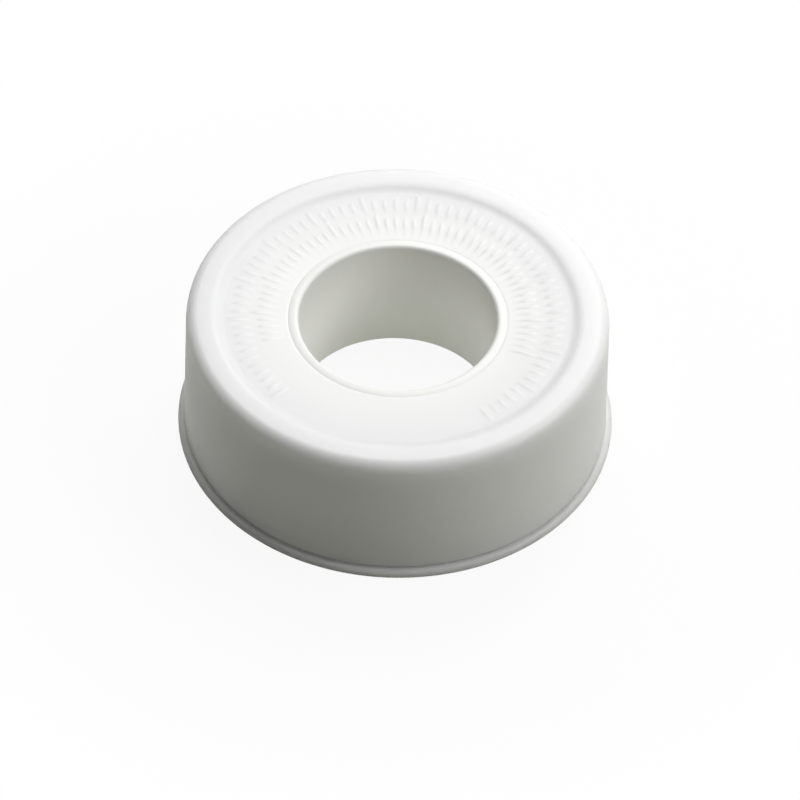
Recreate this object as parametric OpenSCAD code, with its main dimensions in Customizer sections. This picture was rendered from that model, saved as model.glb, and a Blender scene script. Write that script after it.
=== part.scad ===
// Thread seal tape roll: a spool wound with tape, closed by a pull-off cover.
// The roll stands on its flange. The origin is the centre of the underside, and +Z is the bore's axis.

/* [Tape] */
// Width of the tape
tape_w = 12; // [6:0.5:25]
// Thickness of the tape
tape_t = 0.075; // [0.05:0.005:0.25]
// Length of tape wound on the spool
tape_len = 12000; // [4000:500:20000]
// Angle of the last, loose turn of tape in degrees
loose_turn = 300; // [120:10:330]
// Lift of the tape's free end off the roll
loose_lift = 0.7; // [0.3:0.05:1]

/* [Spool] */
// Diameter of the bore through the hub
bore_d = 22.6; // [15:0.2:30]
// Wall of the hub's tube
hub_wall = 1.2; // [1.2:0.1:2]
// Thickness of the flange's outer edge
flange_t = 1; // [1:0.1:1.6]
// How far the flange stands out past the foot of the cover
flange_ledge = 0.7; // [0.3:0.1:2]
// Width of the ring under the flange that the roll stands on
base_w = 3.4; // [3:0.1:5]
// Height of the step that stands up from the flange into the cover
step_h = 1.5; // [0.8:0.1:2.5]
// Thickness of the web between the hub and the flange
web_t = 1.2; // [0.8:0.1:1.6]
// How far the hub stands proud of the cover's land
hub_proud = 0.05; // [0.05:0.05:0.6]

/* [Cover] */
// Wall of the cover's skirt
skirt_wall = 1.2; // [0.8:0.1:2]
// How much wider the skirt's radius is at the foot than at the shoulder
skirt_draft = 0.2; // [0.05:0.05:0.6]
// Thickness of the cover's top at the hub
top_t = 1.4; // [1:0.1:2.5]
// Radius of the rounded shoulder
shoulder_r = 1.3; // [0.5:0.1:2]
// Width of the raised rim from the skirt to the start of its inner slope
rim_w = 2.7; // [2.2:0.1:4]
// Height of the raised rim above the foot of its inner slope
rim_h = 0.4; // [0.2:0.05:1]
// Run of the slope from the rim down to the land
rim_slope = 1.8; // [0.6:0.1:2]
// How far the land falls from the rim's slope to the hub
land_fall = 0.4; // [0.1:0.05:0.6]

/* [Clearances] */
// Room between the wound tape and the skirt
tape_room = 1.85; // [1.5:0.05:3]
// End play of the tape at the web, and again at the cover
tape_play = 0.4; // [0.2:0.05:1]
// Running clearance between the hub and the cover's hole
hub_fit = 0.05; // [0.02:0.01:0.1]
// Clearance between the step and the narrow end of the skirt
step_fit = 0.1; // [0.05:0.05:0.3]
// Gap between the foot of the skirt and the flange
foot_gap = 0.15; // [0.1:0.05:0.5]

/* [Hidden] */
$fn = 96;

// Radii of small roundings, each on the piece that its name says
flange_top_r = 0.65;
flange_foot_r = 0.3;
base_in_r = 0.3;
base_root_r = 0.3;
step_edge_r = 0.4;
hub_root_r = 0.35;
bore_mouth_r = 0.45;
bore_foot_r = 0.8;
cover_inside_r = 0.6;
skirt_foot_r = 0.25;
// Width of the eased edges at the seam between hub and cover, and their depth below the land
seam_ease_w = 0.45;
seam_ease_drop = 0.05;
// Clearance of the innermost turn of tape on the hub, and of the loose turn on the roll
tape_seat = 0.02;
loose_gap = 0.1;
// Angle between the points along the loose turn
loose_step = 5;
// How far a cut runs past the face that it opens
overrun = 0.5;

// Spool
bore_r = bore_d / 2;
hub_r = bore_r + hub_wall;
// The wound tape fills the ring whose area is the tape's length times its thickness
roll_r = sqrt(pow(hub_r + tape_seat, 2) + tape_len * tape_t / PI);
web_z = flange_t + step_h;
recess_z = web_z - web_t;
tape_z = web_z + tape_play;

// Cover
skirt_in_r = roll_r + tape_room;
skirt_r = skirt_in_r + skirt_wall;
foot_r = skirt_r + skirt_draft;
hole_r = hub_r + hub_fit;
foot_z = flange_t + foot_gap;
under_z = tape_z + tape_w + tape_play;
land_z = under_z + top_t;
rim_z = land_z + land_fall + rim_h;

flange_r = foot_r + flange_ledge;
base_r = flange_r - base_w;
step_r = skirt_in_r - step_fit;
hub_z = land_z + hub_proud;

// The sliver outside a rounded corner: tip is the sharp corner, and inward points from it into the material
module corner_waste(tip, r, inward) {
    low = [for (i = [0, 1]) tip[i] - (inward[i] < 0 ? r : overrun)];
    difference() {
        translate(low) square(r + overrun);
        translate(tip + r * inward) circle(r);
    }
}

// The fillet that fills an inside corner: outward points from the corner into the open space
module corner_fill(tip, r, outward) {
    low = [for (i = [0, 1]) tip[i] - (outward[i] < 0 ? r : 0)];
    difference() {
        translate(low) square(r);
        translate(tip + r * outward) circle(r);
    }
}

// The sliver above an eased edge: a flat arc that leaves the top at a width from the edge and ends below it
module ease_waste(tip, width, drop, inward) {
    ease_r = (width * width + drop * drop) / (2 * drop);
    difference() {
        translate(tip - [inward < 0 ? width : overrun, drop]) square([width + overrun, drop + overrun]);
        translate(tip + [inward * width, -ease_r]) circle(ease_r);
    }
}

// Two equal arcs, tangent to each other and to the flats, that lead from the rim down to the land
module rim_ogee(top, run, drop, convex) {
    ogee_r = (run * run + drop * drop) / (4 * drop);
    half = [run / 2, drop / 2];
    intersection() {
        translate(convex ? top - half : top - 2 * half) square(half);
        translate(convex ? top - [0, ogee_r] : top - 2 * half + [0, ogee_r]) circle(ogee_r);
    }
}

module spool_section() {
    difference() {
        union() {
            polygon([
                [bore_r, recess_z],
                [base_r, recess_z],
                [base_r, 0],
                [flange_r, 0],
                [flange_r, flange_t],
                [step_r, flange_t],
                [step_r, web_z],
                [hub_r, web_z],
                [hub_r, hub_z],
                [bore_r, hub_z]
            ]);
            corner_fill([hub_r, web_z], hub_root_r, [1, 1]);
            corner_fill([base_r, recess_z], base_root_r, [-1, -1]);
        }
        corner_waste([base_r, 0], base_in_r, [1, 1]);
        corner_waste([step_r, web_z], step_edge_r, [-1, -1]);
        corner_waste([flange_r, 0], flange_foot_r, [-1, 1]);
        corner_waste([flange_r, flange_t], flange_top_r, [-1, -1]);
        ease_waste([hub_r, hub_z], seam_ease_w, hub_proud + seam_ease_drop, -1);
        corner_waste([bore_r, hub_z], bore_mouth_r, [1, -1]);
        corner_waste([bore_r, recess_z], bore_foot_r, [1, 1]);
    }
}

module cover_section() {
    rim_in = [skirt_r - rim_w, rim_z];
    difference() {
        union() {
            polygon([
                [hole_r, under_z],
                [skirt_in_r, under_z],
                [skirt_in_r, under_z - cover_inside_r],
                [skirt_in_r + skirt_draft, foot_z],
                [foot_r, foot_z],
                [skirt_r, rim_z - shoulder_r],
                [skirt_r, rim_z],
                rim_in,
                rim_in - [rim_slope, rim_h],
                [hole_r + seam_ease_w, land_z],
                [hole_r, land_z]
            ]);
            rim_ogee(rim_in, rim_slope, rim_h, true);
            corner_fill([skirt_in_r, under_z], cover_inside_r, [-1, -1]);
        }
        rim_ogee(rim_in, rim_slope, rim_h, false);
        corner_waste([skirt_r, rim_z], shoulder_r, [-1, -1]);
        corner_waste([foot_r, foot_z], skirt_foot_r, [-1, 1]);
        ease_waste([hole_r, land_z], seam_ease_w, seam_ease_drop, 1);
    }
}

// Point on the loose turn: it leaves the roll and spirals out to the free end
function loose_point(angle, depth) =
    (roll_r + loose_gap + loose_lift * pow(angle / loose_turn, 2) + depth) * [cos(angle), sin(angle)];

loose_angles = [for (a = [0:loose_step:loose_turn]) a];
loose_inside = [for (a = loose_angles) loose_point(a, 0)];
loose_outside = [for (i = [len(loose_angles) - 1:-1:0]) loose_point(loose_angles[i], tape_t)];
echo(gap_between_ends_of_loose_turn = norm(loose_inside[0] - loose_inside[len(loose_inside) - 1]));

// One moulding: the hub's tube, the web at its foot, and the flange with the ring that the roll stands on
module spool() {
    color("whitesmoke") rotate_extrude() spool_section();
}

// The wound turns, tight on the hub
module tape_roll() {
    color("white") rotate_extrude()
        translate([hub_r + tape_seat, tape_z]) square([roll_r - hub_r - tape_seat, tape_w]);
}

// The last turn, which lies loose round the roll and ends in the tape's free end
module tape_end() {
    color("white") translate([0, 0, tape_z]) linear_extrude(tape_w)
        polygon(concat(loose_inside, loose_outside));
}

// One moulding: the skirt and the ring-shaped top that slides over the hub
module cover() {
    color("white") rotate_extrude() cover_section();
}

spool();
tape_roll();
tape_end();
cover();
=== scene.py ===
"""Blender scene of a thread seal tape roll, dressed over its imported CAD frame.

Sizes in the classes are in millimetres, in the CAD frame: +Z runs up the bore and z 0 is the floor.
"""
import logging
import math
from dataclasses import dataclass
from enum import Enum
from typing import Any

import bpy
import numpy as np
from mathutils import Matrix


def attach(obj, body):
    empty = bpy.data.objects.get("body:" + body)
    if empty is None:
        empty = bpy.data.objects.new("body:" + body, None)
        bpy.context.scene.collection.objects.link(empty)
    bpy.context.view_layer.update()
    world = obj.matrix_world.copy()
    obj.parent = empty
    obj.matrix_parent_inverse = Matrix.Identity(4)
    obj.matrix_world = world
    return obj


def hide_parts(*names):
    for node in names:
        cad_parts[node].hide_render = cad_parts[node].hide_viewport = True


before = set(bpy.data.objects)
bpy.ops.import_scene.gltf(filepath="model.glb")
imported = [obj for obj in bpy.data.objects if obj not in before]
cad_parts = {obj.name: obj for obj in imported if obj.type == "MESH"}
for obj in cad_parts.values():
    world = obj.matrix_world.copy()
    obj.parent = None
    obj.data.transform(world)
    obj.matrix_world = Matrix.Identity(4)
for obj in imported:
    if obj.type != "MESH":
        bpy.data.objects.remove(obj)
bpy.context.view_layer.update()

LOG = logging.getLogger("tape_roll_scene")
MM = 0.001
PHOTO_PIXELS = 800
TURN = 2 * math.pi
# Angle in degrees above which an edge is drawn sharp
SHARP_DEG = 40
# Sockets of a colour Mix node: its two colours and its result
MIX_A, MIX_B, MIX_OUT = 6, 7, 2
# Light goes as far into white plastic in green as in red, and a little less far in blue
SCATTER_TINT = (1.0, 1.0, 0.95)
# UV map of the tape, in millimetres along it and across it
RUN_MAP = "TapeRun"
# Steps of an outline: round small edges, along flats, up tall walls, up the skirt, across the rim, round lips
EDGE_STEPS, FLAT_STEPS, TALL_STEPS, SKIRT_STEPS, RIM_STEPS, LIP_STEPS = 6, 8, 10, 12, 4, 14


def linear_rgba(hex_code: str) -> tuple[float, float, float, float]:
    """Turns an sRGB hex colour into linear light.

    Args:
        hex_code: colour as "#rrggbb".

    Returns:
        Linear red, green and blue, with an alpha of 1.
    """
    srgb = np.array([int(hex_code[i:i + 2], 16) for i in (1, 3, 5)]) / 255
    rgb = np.where(srgb <= 0.04045, srgb / 12.92, ((srgb + 0.055) / 1.055) ** 2.4)
    return (float(rgb[0]), float(rgb[1]), float(rgb[2]), 1.0)


def add_node(
    tree: bpy.types.NodeTree,
    kind: str,
    settings: dict[Any, Any] | None = None,
    links: dict[Any, bpy.types.NodeSocket] | None = None,
) -> bpy.types.Node:
    """Adds a node, sets its values and links its inputs.

    Args:
        tree: node tree that gets the node.
        kind: Blender's name of the node type.
        settings: value of each input socket, by name or number, or of each property, by name.
        links: output socket that feeds each input socket.

    Returns:
        The new node.
    """
    node = tree.nodes.new(kind)
    for key, value in (settings or {}).items():
        if isinstance(key, str) and key not in node.inputs:
            setattr(node, key, value)
        else:
            node.inputs[key].default_value = value
    for key, socket in (links or {}).items():
        tree.links.new(socket, node.inputs[key])
    return node


def arc(centre: tuple[float, float], radius: float, start: float, end: float, steps: int) -> np.ndarray:
    """Points on a circular arc: centre plus radius times (cos, sin) of an evenly stepped angle.

    Args:
        centre: centre of the arc in the section plane, radius then height.
        radius: radius of the arc.
        start: first angle in degrees.
        end: last angle in degrees.
        steps: number of steps along the arc.

    Returns:
        Array of steps + 1 points.
    """
    angle = np.radians(np.linspace(start, end, steps + 1))
    return np.array(centre) + radius * np.stack([np.cos(angle), np.sin(angle)], 1)


def eased(edge: tuple[float, float], width: float, drop: float, inward: int, steps: int) -> np.ndarray:
    """Points on a flat arc that eases an edge, from the level top down to the edge.

    Its radius is (width^2 + drop^2) / (2 drop), and its centre lies straight under the start of the arc.

    Args:
        edge: sharp edge in the section plane, radius then height.
        width: distance from the start of the arc to the edge.
        drop: height that the arc loses.
        inward: 1 where the material lies at larger radii than the edge, and -1 where it lies at smaller ones.
        steps: number of steps along the arc.

    Returns:
        Array of steps + 1 points.
    """
    radius = (width ** 2 + drop ** 2) / (2 * drop)
    fall = math.degrees(math.asin(width / radius))
    return arc((edge[0] + inward * width, edge[1] - radius), radius, 90, 90 + inward * fall, steps)


def straight(start: tuple[float, float], end: tuple[float, float], steps: int) -> np.ndarray:
    """Points inside a straight stretch, without its two ends.

    Args:
        start: first end.
        end: second end.
        steps: number of equal steps between the ends.

    Returns:
        Array of steps - 1 points.
    """
    share = np.linspace(0, 1, steps + 1)[1:-1, None]
    return np.array(start) * (1 - share) + np.array(end) * share


def loft(name: str, rings: np.ndarray, closed_path: bool) -> bpy.types.Object:
    """Makes a closed mesh from rings of points that follow each other along a path.

    Point j of ring i joins points j + 1 of the same ring and j of ring i + 1, so each face is a quad.
    An open path gets a cap on its first and last ring. Faces are turned if the signed volume is negative.

    Args:
        name: name of the piece.
        rings: points in millimetres, shaped (rings, points on a ring, 3).
        closed_path: whether the last ring joins the first.

    Returns:
        The new object, linked to the scene, with its place in its mesh.
    """
    count, across, _ = rings.shape
    i = np.arange(count if closed_path else count - 1)[:, None]
    j = np.arange(across)[None, :]
    i_next, j_next = (i + 1) % count, (j + 1) % across
    quads = np.stack([i * across + j, i * across + j_next, i_next * across + j_next, i_next * across + j], -1)
    faces = quads.reshape(-1, 4)
    points = rings.reshape(-1, 3)
    a, b, c, d = (points[faces[:, k]] for k in range(4))
    volume = np.einsum("ij,ij->", a, np.cross(b, c) + np.cross(c, d))
    if volume < 0:
        faces = faces[:, ::-1]
    polygons = faces.tolist()
    if not closed_path:
        front = np.arange(across)
        back = front + (count - 1) * across
        polygons.append((front if volume < 0 else front[::-1]).tolist())
        polygons.append((back[::-1] if volume < 0 else back).tolist())
    mesh = bpy.data.meshes.new(name)
    mesh.from_pydata((points * MM).tolist(), [], polygons)
    mesh.shade_smooth()
    mesh.set_sharp_from_angle(angle=math.radians(SHARP_DEG))
    mesh.validate()
    piece = bpy.data.objects.new(name, mesh)
    bpy.context.scene.collection.objects.link(piece)
    return piece


def turned(radius: np.ndarray, height: np.ndarray, turn: np.ndarray) -> np.ndarray:
    """Turns sections about +Z: (r, z) becomes (r cos t, r sin t, z).

    Args:
        radius: radius of each point, shaped (turns or 1, points).
        height: height of each point, shaped (turns or 1, points).
        turn: angle of each section in radians, shaped (turns, 1).

    Returns:
        Points shaped (turns, points, 3).
    """
    flat = 0 * (radius + height + turn)
    return np.stack([radius * np.cos(turn), radius * np.sin(turn), height + flat], -1)


class Body(Enum):
    """The CAD bodies that pieces ride on."""

    SPOOL = "spool"
    TAPE_END = "tape_end"
    COVER = "cover"


class Slot(Enum):
    """The record's material slots."""

    SPOOL = "spool_plastic"
    COVER = "cover_plastic"
    TAPE = "seal_tape"


def place(piece: bpy.types.Object, body: Body, skin: bpy.types.Material, node: str) -> None:
    """Dresses a piece, ties it to its body and reports it.

    Args:
        piece: the finished object.
        body: CAD body that it moves with.
        skin: material that it wears.
        node: CAD node that it stands for.
    """
    piece.data.materials.append(skin)
    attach(piece, body.value)
    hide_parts(node)
    LOG.info("%s: %d faces, rides on %s", piece.name, len(piece.data.polygons), body.value)


@dataclass(frozen=True)
class MouldedPolypropylene:
    """White polypropylene from a spark-eroded mould.

    It is satin, a little translucent at its thin edges, and has a fine grain and the odd dark speck.
    Its scatter fades out towards the hub, which lies close behind the hole's edge and sends light back.
    """

    name: str
    colour: str
    shade_colour: str
    speck_colour: str = "#8a8a80"
    roughness: float = 0.42
    roughness_spread: float = 0.1
    ior: float = 1.49
    scatter_share: float = 1.0
    scatter_mm: float = 2.2
    scatter_from_r: float = 12.6
    scatter_full_r: float = 20.0
    cloud_mm: float = 9.0
    cloud_detail: float = 3.0
    grain_mm: float = 0.35
    grain_detail: float = 2.0
    grain_depth_mm: float = 0.004
    speck_spacing_mm: float = 7.0
    speck_mm: float = 0.16
    speck_share: float = 0.12

    def material(self) -> bpy.types.Material:
        """Builds the node material.

        Returns:
            The material, with its patterns on Object coordinates.
        """
        material = bpy.data.materials.new(self.name)
        material.use_nodes = True
        tree = material.node_tree
        tree.nodes.clear()
        place_on = add_node(tree, "ShaderNodeTexCoord").outputs["Object"]
        cloud, grain = (
            add_node(
                tree, "ShaderNodeTexNoise", {"Scale": 1 / (size * MM), "Detail": detail}, {"Vector": place_on}
            ).outputs["Fac"]
            for size, detail in ((self.cloud_mm, self.cloud_detail), (self.grain_mm, self.grain_detail))
        )
        cell = add_node(
            tree, "ShaderNodeTexVoronoi", {"Scale": 1 / (self.speck_spacing_mm * MM)}, {"Vector": place_on}
        )
        spot = add_node(
            tree,
            "ShaderNodeMath",
            {"operation": "LESS_THAN", 1: 0.5 * self.speck_mm / self.speck_spacing_mm},
            {0: cell.outputs["Distance"]},
        )
        chosen = add_node(tree, "ShaderNodeSeparateColor", None, {"Color": cell.outputs["Color"]})
        few = add_node(
            tree,
            "ShaderNodeMath",
            {"operation": "LESS_THAN", 1: self.speck_share},
            {0: chosen.outputs["Red"]},
        )
        speck = add_node(
            tree, "ShaderNodeMath", {"operation": "MULTIPLY"}, {0: spot.outputs[0], 1: few.outputs[0]}
        )
        tint = add_node(
            tree,
            "ShaderNodeMix",
            {"data_type": "RGBA", MIX_A: linear_rgba(self.colour), MIX_B: linear_rgba(self.shade_colour)},
            {0: cloud},
        )
        specked = add_node(
            tree,
            "ShaderNodeMix",
            {"data_type": "RGBA", MIX_B: linear_rgba(self.speck_colour)},
            {0: speck.outputs[0], MIX_A: tint.outputs[MIX_OUT]},
        )
        half_spread = self.roughness_spread / 2
        gloss = add_node(
            tree,
            "ShaderNodeMapRange",
            {"To Min": self.roughness - half_spread, "To Max": self.roughness + half_spread},
            {"Value": cloud},
        )
        bump = add_node(
            tree, "ShaderNodeBump", {"Strength": 1.0, "Distance": self.grain_depth_mm * MM}, {"Height": grain}
        )
        across = add_node(
            tree, "ShaderNodeVectorMath", {"operation": "MULTIPLY", 1: (1.0, 1.0, 0.0)}, {0: place_on}
        )
        radius = add_node(tree, "ShaderNodeVectorMath", {"operation": "LENGTH"}, {0: across.outputs[0]})
        scatter = add_node(
            tree,
            "ShaderNodeMapRange",
            {
                "From Min": self.scatter_from_r * MM,
                "From Max": self.scatter_full_r * MM,
                "To Max": self.scatter_share,
            },
            {"Value": radius.outputs["Value"]},
        )
        shader = add_node(
            tree,
            "ShaderNodeBsdfPrincipled",
            {
                "IOR": self.ior,
                "Subsurface Radius": SCATTER_TINT,
                "Subsurface Scale": self.scatter_mm * MM,
            },
            {
                "Subsurface Weight": scatter.outputs[0],
                "Base Color": specked.outputs[MIX_OUT],
                "Roughness": gloss.outputs[0],
                "Normal": bump.outputs["Normal"],
            },
        )
        add_node(tree, "ShaderNodeOutputMaterial", None, {"Surface": shader.outputs[0]})
        return material


@dataclass(frozen=True)
class SealTapeFilm:
    """Unsintered PTFE film, drawn out lengthways.

    It is a soft, waxy white with faint streaks along the tape, and light passes a little way into it.
    """

    name: str
    colour: str = "#fafaf8"
    streak_colour: str = "#f0f0ed"
    roughness: float = 0.38
    ior: float = 1.35
    scatter_share: float = 1.0
    scatter_mm: float = 2.0
    streak_mm: float = 0.5
    streak_length_mm: float = 14.0
    streak_depth_mm: float = 0.012
    streak_detail: float = 4.0

    def material(self) -> bpy.types.Material:
        """Builds the node material.

        The streaks are noise on the piece's own UV map, whose U runs along the tape and V across it, both in
        millimetres.

        Returns:
            The material.
        """
        material = bpy.data.materials.new(self.name)
        material.use_nodes = True
        tree = material.node_tree
        tree.nodes.clear()
        along = add_node(tree, "ShaderNodeUVMap", {"uv_map": RUN_MAP}).outputs[0]
        drawn = add_node(
            tree,
            "ShaderNodeMapping",
            {"Scale": (1 / self.streak_length_mm, 1 / self.streak_mm, 1.0)},
            {"Vector": along},
        )
        streak = add_node(
            tree,
            "ShaderNodeTexNoise",
            {"Scale": 1.0, "Detail": self.streak_detail},
            {"Vector": drawn.outputs[0]},
        ).outputs["Fac"]
        tint = add_node(
            tree,
            "ShaderNodeMix",
            {"data_type": "RGBA", MIX_A: linear_rgba(self.colour), MIX_B: linear_rgba(self.streak_colour)},
            {0: streak},
        )
        bump = add_node(
            tree,
            "ShaderNodeBump",
            {"Strength": 1.0, "Distance": self.streak_depth_mm * MM},
            {"Height": streak},
        )
        shader = add_node(
            tree,
            "ShaderNodeBsdfPrincipled",
            {
                "Roughness": self.roughness,
                "IOR": self.ior,
                "Subsurface Weight": self.scatter_share,
                "Subsurface Radius": SCATTER_TINT,
                "Subsurface Scale": self.scatter_mm * MM,
            },
            {"Base Color": tint.outputs[MIX_OUT], "Normal": bump.outputs["Normal"]},
        )
        add_node(tree, "ShaderNodeOutputMaterial", None, {"Surface": shader.outputs[0]})
        return material


@dataclass
class Spool:
    """The spool: the hub's tube, the web at its foot, and the flange.

    The roll stands on a ring under the flange.
    """

    finish: MouldedPolypropylene
    bore_r: float = 11.3
    hub_r: float = 12.5
    hub_z: float = 16.75
    step_r: float = 22.803
    flange_r: float = 25.003
    base_r: float = 21.603
    flange_t: float = 1.0
    web_z: float = 2.5
    recess_z: float = 1.3
    flange_top_r: float = 0.65
    flange_foot_r: float = 0.3
    base_in_r: float = 0.3
    base_root_r: float = 0.3
    step_edge_r: float = 0.4
    hub_root_r: float = 0.35
    bore_mouth_r: float = 0.45
    bore_foot_r: float = 0.8
    seam_ease_w: float = 0.7
    seam_ease_drop: float = 0.1
    segments: int = 512

    def section(self) -> np.ndarray:
        """Outline of the spool: straight stretches joined by quarter arcs at each rounded corner.

        Returns:
            Closed outline, anticlockwise, as radius and height.
        """
        mouth, foot, root = self.bore_mouth_r, self.bore_foot_r, self.hub_root_r
        step, inner, base = self.step_edge_r, self.base_root_r, self.base_in_r
        top, bottom, drop = self.flange_top_r, self.flange_foot_r, self.seam_ease_drop
        return np.concatenate([
            arc((self.bore_r + foot, self.recess_z + foot), foot, 180, 270, FLAT_STEPS),
            straight((self.bore_r + foot, self.recess_z), (self.base_r - inner, self.recess_z), FLAT_STEPS),
            arc((self.base_r - inner, self.recess_z - inner), inner, 90, 0, EDGE_STEPS),
            arc((self.base_r + base, base), base, 180, 270, EDGE_STEPS),
            arc((self.flange_r - bottom, bottom), bottom, 270, 360, FLAT_STEPS),
            arc((self.flange_r - top, self.flange_t - top), top, 0, 90, TALL_STEPS),
            [(self.step_r, self.flange_t)],
            arc((self.step_r - step, self.web_z - step), step, 0, 90, EDGE_STEPS),
            straight((self.step_r - step, self.web_z), (self.hub_r + root, self.web_z), FLAT_STEPS),
            arc((self.hub_r + root, self.web_z + root), root, 270, 180, EDGE_STEPS),
            straight((self.hub_r, self.web_z + root), (self.hub_r, self.hub_z - drop), TALL_STEPS),
            eased((self.hub_r, self.hub_z), self.seam_ease_w, drop, -1, EDGE_STEPS)[::-1],
            arc((self.bore_r + mouth, self.hub_z - mouth), mouth, 90, 180, LIP_STEPS)[1:],
            straight((self.bore_r, self.hub_z - mouth), (self.bore_r, self.recess_z + foot), LIP_STEPS),
        ])

    def build(self) -> None:
        """Builds and dresses the spool."""
        radius, height = self.section().T[:, None]
        turn = np.linspace(0, TURN, self.segments, endpoint=False)[:, None]
        piece = loft("spool_moulding", turned(radius, height, turn), closed_path=True)
        place(piece, Body.SPOOL, self.finish.material(), "spool")


@dataclass(frozen=True)
class TickBand:
    """A band of plain raised ticks on the cover's land, from its first tick place to its last."""

    low_r: float
    short_r: float
    long_r: float
    first: int
    last: int


@dataclass
class Cover:
    """The cover: a drafted skirt with a round shoulder, a raised rim, and the land round the hub."""

    finish: MouldedPolypropylene
    hole_r: float = 12.55
    seat_r: float = 12.51
    skirt_in_r: float = 22.903
    skirt_wall: float = 1.2
    skirt_draft: float = 0.2
    foot_z: float = 1.15
    under_z: float = 15.3
    land_z: float = 16.7
    land_fall: float = 0.4
    rim_h: float = 0.4
    rim_w: float = 2.7
    rim_slope: float = 1.8
    shoulder_r: float = 1.3
    seam_ease_w: float = 0.45
    seam_ease_drop: float = 0.05
    inside_r: float = 0.6
    foot_edge_r: float = 0.25
    tick_places: int = 90
    tick_columns_deg: tuple[float, ...] = (-0.7, -0.4, -0.15, 0.15, 0.4, 0.7, 1.55, 2.45)
    tick_top_deg: float = 0.4
    tick_foot_deg: float = 0.7
    tick_end: float = 0.1
    tick_relief: float = 0.045
    tick_long_every: int = 5
    bands: tuple[TickBand, ...] = (
        TickBand(17.4, 18.6, 19.3, -14, 56),
        TickBand(14.6, 15.7, 16.4, -5, 49),
    )

    def section(self) -> np.ndarray:
        """Outline of the cover.

        The rim drops to the land on two equal arcs of radius (run^2 + drop^2) / (4 drop). The land then falls
        on a straight line to the eased edge at the hub.

        Returns:
            Closed outline, anticlockwise, as radius and height.
        """
        skirt_r = self.skirt_in_r + self.skirt_wall
        foot_r = skirt_r + self.skirt_draft
        land_top = self.land_z + self.land_fall
        rim_z = land_top + self.rim_h
        rim_in = skirt_r - self.rim_w
        land_ends = (self.seat_r + self.seam_ease_w, rim_in - self.rim_slope)
        bend = (self.rim_slope ** 2 + self.rim_h ** 2) / (4 * self.rim_h)
        sweep = math.degrees(math.asin(self.rim_slope / (2 * bend)))
        inside, edge, shoulder = self.inside_r, self.foot_edge_r, self.shoulder_r
        inner_foot = (self.skirt_in_r + self.skirt_draft, self.foot_z)
        land_rows = self.land_rows()
        return np.concatenate([
            [(self.hole_r, self.under_z)],
            straight((self.hole_r, self.under_z), (self.skirt_in_r - inside, self.under_z), FLAT_STEPS),
            arc((self.skirt_in_r - inside, self.under_z - inside), inside, 90, 0, FLAT_STEPS),
            straight((self.skirt_in_r, self.under_z - inside), inner_foot, TALL_STEPS),
            [inner_foot],
            arc((foot_r - edge, self.foot_z + edge), edge, 270, 360, EDGE_STEPS),
            straight((foot_r, self.foot_z + edge), (skirt_r, rim_z - shoulder), SKIRT_STEPS),
            arc((skirt_r - shoulder, rim_z - shoulder), shoulder, 0, 90, LIP_STEPS),
            straight((skirt_r - shoulder, rim_z), (rim_in, rim_z), RIM_STEPS),
            arc((rim_in, rim_z - bend), bend, 90, 90 + sweep, FLAT_STEPS),
            arc((rim_in - self.rim_slope, land_top + bend), bend, sweep - 90, -90, FLAT_STEPS)[1:],
            np.stack([land_rows, np.interp(land_rows, land_ends, (self.land_z, land_top))], 1),
            eased((self.seat_r, self.land_z), self.seam_ease_w, self.seam_ease_drop, 1, EDGE_STEPS),
        ])

    def land_rows(self) -> list[float]:
        """Radii of the land's rows of points, which follow the ends of the ticks.

        Returns:
            Radii from the outside in.
        """
        ends = [
            (band.low_r - self.tick_end, band.low_r, band.short_r, band.short_r + self.tick_end,
             band.long_r, band.long_r + self.tick_end)
            for band in self.bands
        ]
        return sorted(np.ravel(ends).tolist(), reverse=True)

    def relief(self, radius: np.ndarray, turn: np.ndarray) -> np.ndarray:
        """Height of the ticks: a flat top with straight bevels to its sides and its two ends.

        Args:
            radius: radius of each point, shaped (1, points).
            turn: angle of each section in radians, shaped (turns, 1).

        Returns:
            Height above the land, shaped (turns, points).
        """
        pitch = 360 / self.tick_places
        place_number = np.degrees(turn) / pitch
        number = np.round(place_number)
        off_deg = np.abs(place_number - number) * pitch
        side = np.clip((self.tick_foot_deg - off_deg) / (self.tick_foot_deg - self.tick_top_deg), 0, 1)
        height = 0 * (radius + turn)
        for band in self.bands:
            counted = np.mod(number - band.first, self.tick_places)
            drawn = counted <= band.last - band.first
            outer = np.where(counted % self.tick_long_every == 0, band.long_r, band.short_r)
            inner_end = (radius - band.low_r) / self.tick_end + 1
            outer_end = (outer - radius) / self.tick_end + 1
            height += self.tick_relief * drawn * side * np.clip(np.minimum(inner_end, outer_end), 0, 1)
        return height

    def build(self) -> None:
        """Builds and dresses the cover, with the ticks raised from its land."""
        radius, height = self.section().T[:, None]
        places = np.arange(self.tick_places)[:, None] * TURN / self.tick_places
        turn = (places + np.radians(self.tick_columns_deg)).reshape(-1, 1)
        on_land = height > (self.under_z + self.land_z) / 2
        raised = height + on_land * self.relief(radius, turn)
        piece = loft("cover_moulding", turned(radius, raised, turn), closed_path=True)
        place(piece, Body.COVER, self.finish.material(), "cover")


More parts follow.
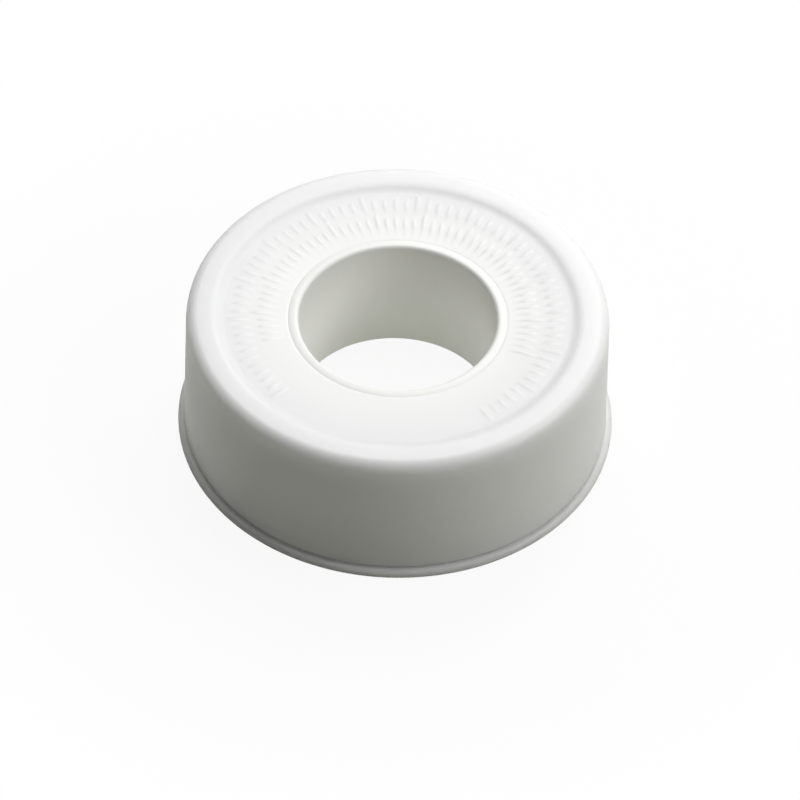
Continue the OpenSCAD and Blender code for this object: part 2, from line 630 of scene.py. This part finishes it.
@dataclass
class WoundTape:
    """The tape: its tight turns on the hub, and the last loose turn with its free end.

    The loose turn has its own finish, because a single layer looks as white as the turns that it lies on.
    """

    finish: SealTapeFilm
    loose_finish: SealTapeFilm
    hub_r: float = 12.52
    roll_r: float = 21.053
    low_z: float = 2.9
    width: float = 12.0
    thickness: float = 0.075
    loose_turn_deg: float = 300.0
    loose_gap: float = 0.1
    loose_lift: float = 0.7
    turn_pitch: float = 0.3
    turn_relief: float = 0.02
    ripple_fade: float = 12.0
    drift_mean: float = 0.6
    drift_swing: float = 0.4
    drift_waves: float = 9.0
    drift_beat: float = 3.1
    drift_turns: int = 2
    face_steps: int = 170
    side_steps: int = 13
    segments: int = 256
    loose_steps: int = 180
    width_steps: int = 8

    def roll_rings(self) -> np.ndarray:
        """Rings of the tight turns: a square section whose end faces ripple as the tape's edges do.

        The ripple is a sine of (radius / pitch - turn), so that its crests wind in a spiral. One crest stands
        for about four turns, because the real turns are too fine to show. It fades at the face's two edges,
        and its height drifts with the product of two slower sines.

        Returns:
            Points shaped (segments, points on a ring, 3).
        """
        turn = np.linspace(0, TURN, self.segments, endpoint=False)[:, None]
        share = np.linspace(0, 1, self.face_steps)[None, :]
        radius = self.hub_r + (self.roll_r - self.hub_r) * share
        fade = np.minimum(1, self.ripple_fade * share * (1 - share))
        wave = np.sin(self.drift_waves * share * TURN + self.drift_turns * turn)
        drift = self.drift_mean + self.drift_swing * wave * np.sin(self.drift_beat * share * TURN)
        ripple = self.turn_relief * fade * drift * (np.sin(TURN * radius / self.turn_pitch - turn) - 1)
        top = self.low_z + self.width + ripple
        bottom = self.low_z - ripple
        reach = radius + 0 * turn
        side_z = np.linspace(self.low_z + self.width, self.low_z, self.side_steps + 1)[None, 1:-1] + 0 * turn
        r = np.concatenate([reach, self.roll_r + 0 * side_z, reach[:, ::-1]], 1)
        z = np.concatenate([top, side_z, bottom[:, ::-1]], 1)
        return turned(r, z, turn)

    def loose_rings(self) -> np.ndarray:
        """Rings of the loose turn: the tape's thin section along a spiral that lifts off the roll.

        Its radius is the roll's, plus a gap, plus the lift times the square of the share of its turn.

        Returns:
            Points shaped (steps, points on a ring, 3).
        """
        share = np.linspace(0, 1, self.loose_steps + 1)[:, None]
        turn = share * math.radians(self.loose_turn_deg)
        inside = self.roll_r + self.loose_gap + self.loose_lift * share ** 2
        rise = np.linspace(0, 1, self.width_steps + 1)[None, :]
        loop_z = np.concatenate([rise, rise[:, ::-1]], 1)
        loop_r = np.concatenate([0 * rise, 0 * rise + self.thickness], 1)
        r = inside + loop_r
        z = self.low_z + self.width * loop_z + 0 * turn
        return turned(r, z, turn)

    def run_map(self, piece: bpy.types.Object) -> None:
        """Gives a piece a UV map in millimetres: U is the way round the roll, and V is height plus radius.

        Args:
            piece: the object that gets the map.
        """
        mesh = piece.data
        points = np.empty(3 * len(mesh.vertices))
        mesh.vertices.foreach_get("co", points)
        corner = np.empty(len(mesh.loops), dtype=np.int32)
        mesh.loops.foreach_get("vertex_index", corner)
        x, y, z = points.reshape(-1, 3)[corner].T / MM
        radius = np.hypot(x, y)
        turn = np.mod(np.arctan2(y, x), TURN)
        start = np.repeat(self.face_numbers(mesh, "loop_start"), self.face_numbers(mesh, "loop_total"))
        turn = np.where(turn[start] - turn > math.pi, turn + TURN, turn)
        turn = np.where(turn - turn[start] > math.pi, turn - TURN, turn)
        uv = np.stack([turn * self.roll_r, z + radius], 1)
        layer = mesh.uv_layers.new(name=RUN_MAP)
        layer.data.foreach_set("uv", uv.ravel())

    @staticmethod
    def face_numbers(mesh: bpy.types.Mesh, field: str) -> np.ndarray:
        """Reads a whole number from each face of a mesh.

        Args:
            mesh: the mesh.
            field: Blender's name of the number.

        Returns:
            Array with one number a face.
        """
        numbers = np.empty(len(mesh.polygons), dtype=np.int32)
        mesh.polygons.foreach_get(field, numbers)
        return numbers

    def build(self) -> None:
        """Builds and dresses the tight turns and the loose turn."""
        roll = loft("tape_tight_turns", self.roll_rings(), closed_path=True)
        self.run_map(roll)
        place(roll, Body.SPOOL, self.finish.material(), "tape_roll")
        loose = loft("tape_loose_turn", self.loose_rings(), closed_path=False)
        self.run_map(loose)
        place(loose, Body.TAPE_END, self.loose_finish.material(), "tape_end")


@dataclass(frozen=True)
class Softbox:
    """A square area lamp that points at the roll."""

    name: str
    turn_deg: float
    height_deg: float
    distance: float
    width: float
    power: float


@dataclass
class Studio:
    """White floor, soft lamps and the camera."""

    view_height_deg: float = 46.33
    view_roll_deg: float = 1.59
    view_distance: float = 867.6
    focal_pixels: float = 7518.0
    aim_pixels: tuple[float, float] = (-5.0, 19.0)
    sensor: float = 36.0
    clip_start: float = 10.0
    floor_width: float = 6000.0
    floor_drop: float = 0.05
    floor_colour: str = "#d4d6c6"
    floor_seen_colour: str = "#f8f8f8"
    shadow_share: float = 0.08
    shadow_near: float = 30.0
    shadow_far: float = 75.0
    lamps: tuple[Softbox, ...] = (
        Softbox("top_back_softbox", 90.0, 65.0, 420.0, 240.0, 0.73),
        Softbox("back_right_softbox", 70.0, 40.0, 420.0, 240.0, 0.62),
        Softbox("right_softbox", 350.0, 40.0, 420.0, 240.0, 0.67),
        Softbox("left_softbox", 180.0, 40.0, 420.0, 240.0, 0.08),
        Softbox("front_top_softbox", 270.0, 50.0, 420.0, 240.0, 0.065),
    )

    def build_floor(self) -> None:
        """Builds the floor, which is white to the camera but keeps a soft shadow."""
        half = self.floor_width * MM / 2
        drop = -self.floor_drop * MM
        mesh = bpy.data.meshes.new("studio_floor")
        corners = [(x * half, y * half, drop) for x, y in ((-1, -1), (1, -1), (1, 1), (-1, 1))]
        mesh.from_pydata(corners, [], [(0, 1, 2, 3)])
        floor = bpy.data.objects.new("studio_floor", mesh)
        bpy.context.scene.collection.objects.link(floor)
        material = bpy.data.materials.new("white_paper_floor")
        material.use_nodes = True
        tree = material.node_tree
        tree.nodes.clear()
        seen = self.seen_directly(tree)
        tone = add_node(
            tree,
            "ShaderNodeMix",
            {
                "data_type": "RGBA",
                MIX_A: linear_rgba(self.floor_colour),
                MIX_B: linear_rgba(self.floor_seen_colour),
            },
            {0: seen},
        )
        paper = add_node(tree, "ShaderNodeBsdfDiffuse", None, {"Color": tone.outputs[MIX_OUT]})
        glow = add_node(tree, "ShaderNodeEmission", {"Color": (1, 1, 1, 1), "Strength": 1.0})
        spot = add_node(tree, "ShaderNodeTexCoord").outputs["Object"]
        reach = add_node(tree, "ShaderNodeVectorMath", {"operation": "LENGTH"}, {0: spot}).outputs["Value"]
        white = add_node(
            tree,
            "ShaderNodeMapRange",
            {
                "From Min": self.shadow_near * MM,
                "From Max": self.shadow_far * MM,
                "To Min": 1 - self.shadow_share,
                "To Max": 1.0,
                "interpolation_type": "SMOOTHSTEP",
            },
            {"Value": reach},
        )
        share = add_node(tree, "ShaderNodeMath", {"operation": "MULTIPLY"}, {0: white.outputs[0], 1: seen})
        mix = add_node(
            tree, "ShaderNodeMixShader", None, {0: share.outputs[0], 1: paper.outputs[0], 2: glow.outputs[0]}
        )
        add_node(tree, "ShaderNodeOutputMaterial", None, {"Surface": mix.outputs[0]})
        mesh.materials.append(material)

    @staticmethod
    def seen_directly(tree: bpy.types.NodeTree) -> bpy.types.NodeSocket:
        """Adds nodes that give 1 to camera, glossy and transmission rays.

        Args:
            tree: node tree that gets the nodes.

        Returns:
            The socket with the 0 or 1.
        """
        path = add_node(tree, "ShaderNodeLightPath")
        two = add_node(
            tree,
            "ShaderNodeMath",
            {"operation": "MAXIMUM"},
            {0: path.outputs["Is Camera Ray"], 1: path.outputs["Is Glossy Ray"]},
        )
        three = add_node(
            tree,
            "ShaderNodeMath",
            {"operation": "MAXIMUM"},
            {0: two.outputs[0], 1: path.outputs["Is Transmission Ray"]},
        )
        return three.outputs[0]

    def build_world(self) -> None:
        """Builds a world that is white where it is seen directly, and lights nothing."""
        world = bpy.data.worlds.new("studio_world")
        world.use_nodes = True
        tree = world.node_tree
        tree.nodes.clear()
        seen = self.seen_directly(tree)
        back = add_node(tree, "ShaderNodeBackground", {"Color": (1, 1, 1, 1)}, {"Strength": seen})
        add_node(tree, "ShaderNodeOutputWorld", None, {"Surface": back.outputs[0]})
        bpy.context.scene.world = world

    def build_lamps(self) -> None:
        """Builds the softboxes, each turned towards the middle of the roll."""
        for box in self.lamps:
            lamp = bpy.data.lights.new(box.name, "AREA")
            lamp.shape = "SQUARE"
            lamp.size = box.width * MM
            lamp.energy = box.power
            turn, height = math.radians(box.turn_deg), math.radians(box.height_deg)
            holder = bpy.data.objects.new(box.name, lamp)
            holder.location = tuple(
                box.distance * MM * np.array([
                    math.cos(height) * math.cos(turn), math.cos(height) * math.sin(turn), math.sin(height)
                ])
            )
            holder.rotation_euler = (math.pi / 2 - height, 0, turn + math.pi / 2)
            bpy.context.scene.collection.objects.link(holder)

    def build_camera(self) -> None:
        """Builds the camera, which looks along +Y and down at the origin, with a slight roll."""
        lens = bpy.data.cameras.new("photo_camera")
        lens.sensor_width = self.sensor
        lens.lens = self.focal_pixels * self.sensor / PHOTO_PIXELS
        lens.shift_x = -self.aim_pixels[0] / PHOTO_PIXELS
        lens.shift_y = self.aim_pixels[1] / PHOTO_PIXELS
        lens.clip_start = self.clip_start * MM
        height, roll = math.radians(self.view_height_deg), math.radians(self.view_roll_deg)
        camera = bpy.data.objects.new("photo_camera", lens)
        camera.location = (
            0, -self.view_distance * MM * math.cos(height), self.view_distance * MM * math.sin(height)
        )
        forward = np.array([0, math.cos(height), -math.sin(height)])
        right = np.array([1.0, 0, 0])
        up = np.cross(right, forward)
        turned_right = math.cos(roll) * right + math.sin(roll) * up
        turned_up = math.cos(roll) * up - math.sin(roll) * right
        axes = np.stack([turned_right, turned_up, -forward], 1)
        camera.rotation_euler = Matrix(axes.tolist()).to_euler()
        bpy.context.scene.collection.objects.link(camera)
        bpy.context.scene.camera = camera

    def build(self) -> None:
        """Builds the whole studio."""
        bpy.context.scene.view_settings.view_transform = "Standard"
        self.build_camera()
        self.build_floor()
        self.build_world()
        self.build_lamps()


def main() -> None:
    """Builds the studio and the pieces in order."""
    logging.basicConfig(level=logging.INFO, format="%(name)s: %(message)s")
    Studio().build()
    Spool(MouldedPolypropylene("spool_polypropylene", "#fdfdfa", "#f9f9f5")).build()
    single_layer = SealTapeFilm("seal_tape_ptfe_single_layer", scatter_share=0.0)
    WoundTape(SealTapeFilm("seal_tape_ptfe"), single_layer).build()
    Cover(MouldedPolypropylene("cover_polypropylene", "#fdfdfb", "#fafaf7")).build()


if __name__ == "__main__":
    main()
